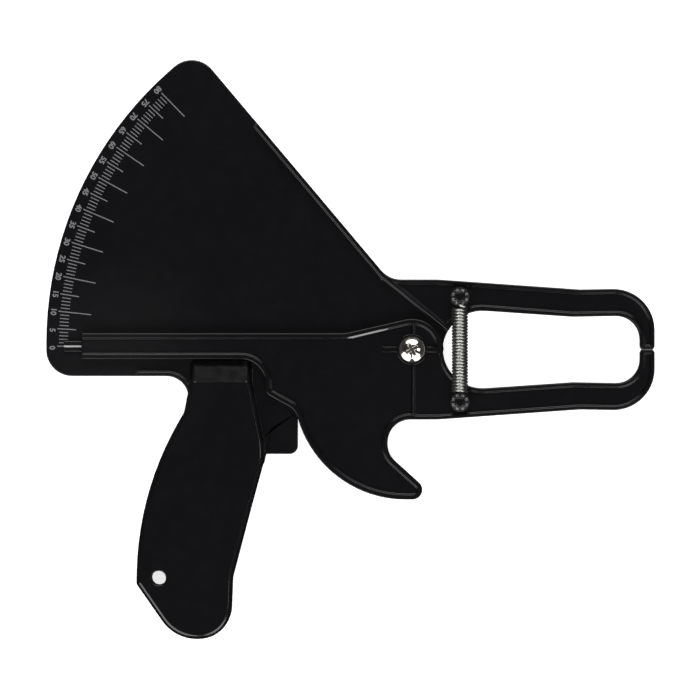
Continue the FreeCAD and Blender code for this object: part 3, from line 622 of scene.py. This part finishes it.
def wire_points():
    """Points along the wire, from the loop round the upper post at y = 0 to the loop round the lower one."""
    coil = COIL_TURNS * COIL_PITCH
    coil_start = (POST_GAP - coil) / 2
    leg = coil_start - LOOP_RADIUS
    shares = [(k + 1) / (LEG_STEPS + 1) for k in range(LEG_STEPS)]
    points = post_loop(UPPER_LOOP_FROM, 0)
    # The leg swings out from the axis to the coil over half a turn.
    for share in shares:
        radius = COIL_RADIUS * math.sin(share * math.pi / 2)
        points.append(round_axis(radius, math.pi * share, LOOP_RADIUS + leg * share))
    for k in range(COIL_TURNS * COIL_STEPS + 1):
        turns = k / COIL_STEPS
        y = coil_start + coil * turns / COIL_TURNS
        points.append(round_axis(COIL_RADIUS, math.pi * (1 + 2 * turns), y))
    # The other leg swings back to the axis.
    for share in shares:
        radius = COIL_RADIUS * math.cos(share * math.pi / 2)
        y = POST_GAP - LOOP_RADIUS - leg * (1 - share)
        points.append(round_axis(radius, math.pi * (1 + share), y))
    return points + post_loop(LOWER_LOOP_FROM, POST_GAP)


def spring_mesh():
    """The wound wire as a smooth round tube with closed ends."""
    curve = bpy.data.curves.new("coil_spring", "CURVE")
    curve.dimensions = "3D"
    curve.bevel_depth = WIRE / 2
    curve.bevel_resolution = WIRE_SIDES
    curve.use_fill_caps = True
    points = wire_points()
    spline = curve.splines.new("POLY")
    spline.points.add(len(points) - 1)
    for point, place in zip(spline.points, points):
        point.co = (*place, 1)
    mesh = mesh_from_curve(curve)
    mesh.polygons.foreach_set("use_smooth", [True] * len(mesh.polygons))
    mesh.name = "coil_spring"
    return mesh


spring = bpy.data.objects.new("coil_spring", spring_mesh())
scene.collection.objects.link(spring)
spring.data.materials.append(wire_steel())
spring.matrix_world = Matrix.Translation(UPPER_POST) @ Matrix.Rotation(math.pi, 4, "Z")
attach(spring, "frame")
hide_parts("return_spring")

# The spring reaches from the upper post to this point on the lower post, and stretches as the jaw opens.
hold = bpy.data.objects.new("spring_hold", None)
scene.collection.objects.link(hold)
hold.matrix_world = Matrix.Translation(LOWER_POST)
hold.parent = frame["bodies"]["lever"]
stretch = spring.constraints.new("STRETCH_TO")
stretch.target = hold
stretch.rest_length = POST_GAP
stretch.volume = "NO_VOLUME"
stretch.keep_axis = "SWING_Y"

# ---- Floor and light ----

FLOOR_RADIUS = 3.0
FLOOR_SIDES = 96
FLOOR_LEVEL = -0.2 * MM
FLOOR_GLOW = 0.8

floor_mesh = bpy.data.meshes.new("floor")
work = bmesh.new()
bmesh.ops.create_circle(work, cap_ends=True, segments=FLOOR_SIDES, radius=FLOOR_RADIUS)
work.to_mesh(floor_mesh)
work.free()
floor = bpy.data.objects.new("floor", floor_mesh)
floor.location.z = FLOOR_LEVEL
scene.collection.objects.link(floor)
paper = Shader("paper", Roughness=0.9, Emission_Color=(1, 1, 1, 1), Emission_Strength=FLOOR_GLOW)
pulp = paper.ramp(paper.noise(scale=30, detail=3), [(0.3, (0.90, 0.90, 0.90)), (0.7, (0.93, 0.93, 0.93))])
paper.join(pulp, paper.surface.inputs["Base Color"])
floor_mesh.materials.append(paper.material)
floor.visible_glossy = False

# The studio is nearly black below, dim beside the tool and grey overhead: (share of the way up, level).
STUDIO = (
    (0.0, 0.02),
    (0.46, 0.02),
    (0.5, 0.10),
    (0.58, 0.08),
    (0.77, 0.05),
    (0.9, 0.03),
    (0.96, 0.066),
    (1.0, 0.074),
)
STUDIO_TINT = (0.97, 0.97, 1.06)

world = bpy.data.worlds.new("studio")
scene.world = world
world.use_nodes = True
studio = Nodes(world.node_tree)
parts = studio.add("ShaderNodeSeparateXYZ")
studio.join(studio.add("ShaderNodeTexCoord").outputs["Generated"], parts.inputs["Vector"])
way_up = studio.span(parts.outputs["Z"], low=0.0, high=1.0, start=-1.0, end=1.0)
stops = [(position, [level * tint for tint in STUDIO_TINT]) for position, level in STUDIO]
studio.join(studio.ramp(way_up, stops), studio.tree.nodes["Background"].inputs["Color"])

LAMP_DISTANCE = 2.0


def softbox(name, azimuth, elevation, size, radiance):
    """A soft oval lamp that faces the tool from this compass direction (+Y is 0, +X is 90)."""
    turn, rise = math.radians(azimuth), math.radians(elevation)
    place = Vector((math.cos(rise) * math.sin(turn), math.cos(rise) * math.cos(turn), math.sin(rise)))
    data = bpy.data.lights.new(name, "AREA")
    data.shape = "ELLIPSE"
    data.size, data.size_y = size
    oval_area = math.pi / 4 * size[0] * size[1]
    data.energy = radiance * math.pi * oval_area
    lamp = bpy.data.objects.new(name, data)
    lamp.location = place * LAMP_DISTANCE
    lamp.rotation_euler = (-place).to_track_quat("-Z", "Y").to_euler()
    scene.collection.objects.link(lamp)


softbox("north", azimuth=0, elevation=47, size=(2.3, 1.05), radiance=4.2)
softbox("south_west", azimuth=217, elevation=42, size=(1.9, 1.3), radiance=3.7)
softbox("south_east", azimuth=149, elevation=42, size=(1.4, 1.3), radiance=4.2)
softbox("east", azimuth=92, elevation=54, size=(0.4, 0.3), radiance=5.0)

scene.view_settings.view_transform = "Standard"
scene.view_settings.look = "None"

bpy.context.view_layer.update()
